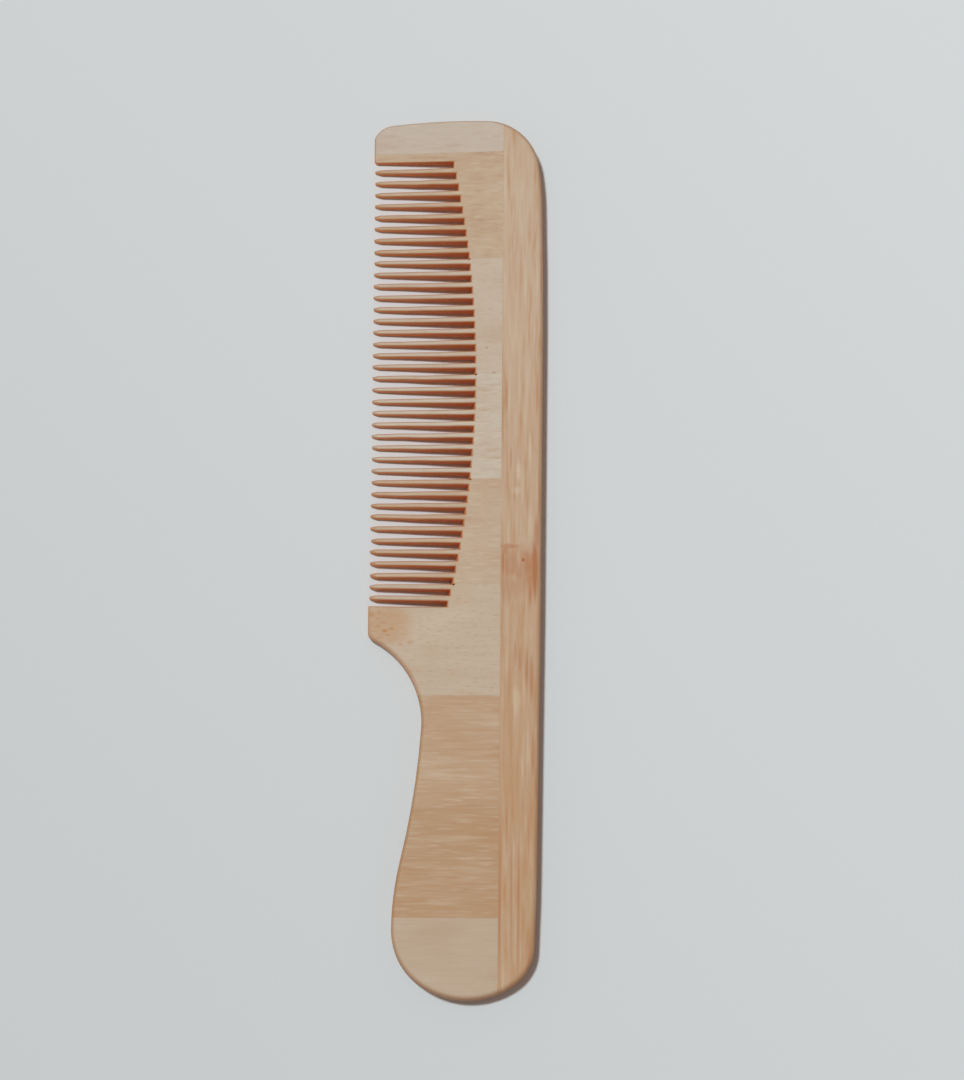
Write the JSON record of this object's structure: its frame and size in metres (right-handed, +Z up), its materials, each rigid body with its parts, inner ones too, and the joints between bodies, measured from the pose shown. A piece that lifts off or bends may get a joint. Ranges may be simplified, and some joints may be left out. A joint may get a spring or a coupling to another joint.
{
  "type": "handled hair comb",
  "caption": "Flat one-handled hair comb of laminated bamboo: cross-grain staves cut into fine teeth and glued to a full-length spine, with a waisted grip.",
  "frame": {"origin": "middle of the length and the width, on the flat underside that the comb lies on", "axes": "+Y from the handle end to the top of the blade, -X the way the teeth point, +Z up from the underside"},
  "size_m": [0.036, 0.1851, 0.0058],
  "materials": {
    "spine_bamboo": "matte",
    "guard_bamboo": "matte",
    "tooth_bamboo_1": "matte",
    "tooth_bamboo_2": "matte",
    "tooth_bamboo_3": "matte",
    "tooth_bamboo_4": "matte",
    "neck_bamboo": "matte",
    "grip_bamboo_1": "matte",
    "grip_bamboo_2": "matte",
    "end_bamboo": "matte"
  },
  "bodies": {
    "root": {"spine": "spine_bamboo", "guard_stave": "guard_bamboo", "tooth_stave_1": "tooth_bamboo_1", "tooth_stave_2": "tooth_bamboo_2", "tooth_stave_3": "tooth_bamboo_3", "tooth_stave_4": "tooth_bamboo_4", "neck_stave": "neck_bamboo", "grip_stave_1": "grip_bamboo_1", "grip_stave_2": "grip_bamboo_2", "end_stave": "end_bamboo"}
  },
  "joints": []
}
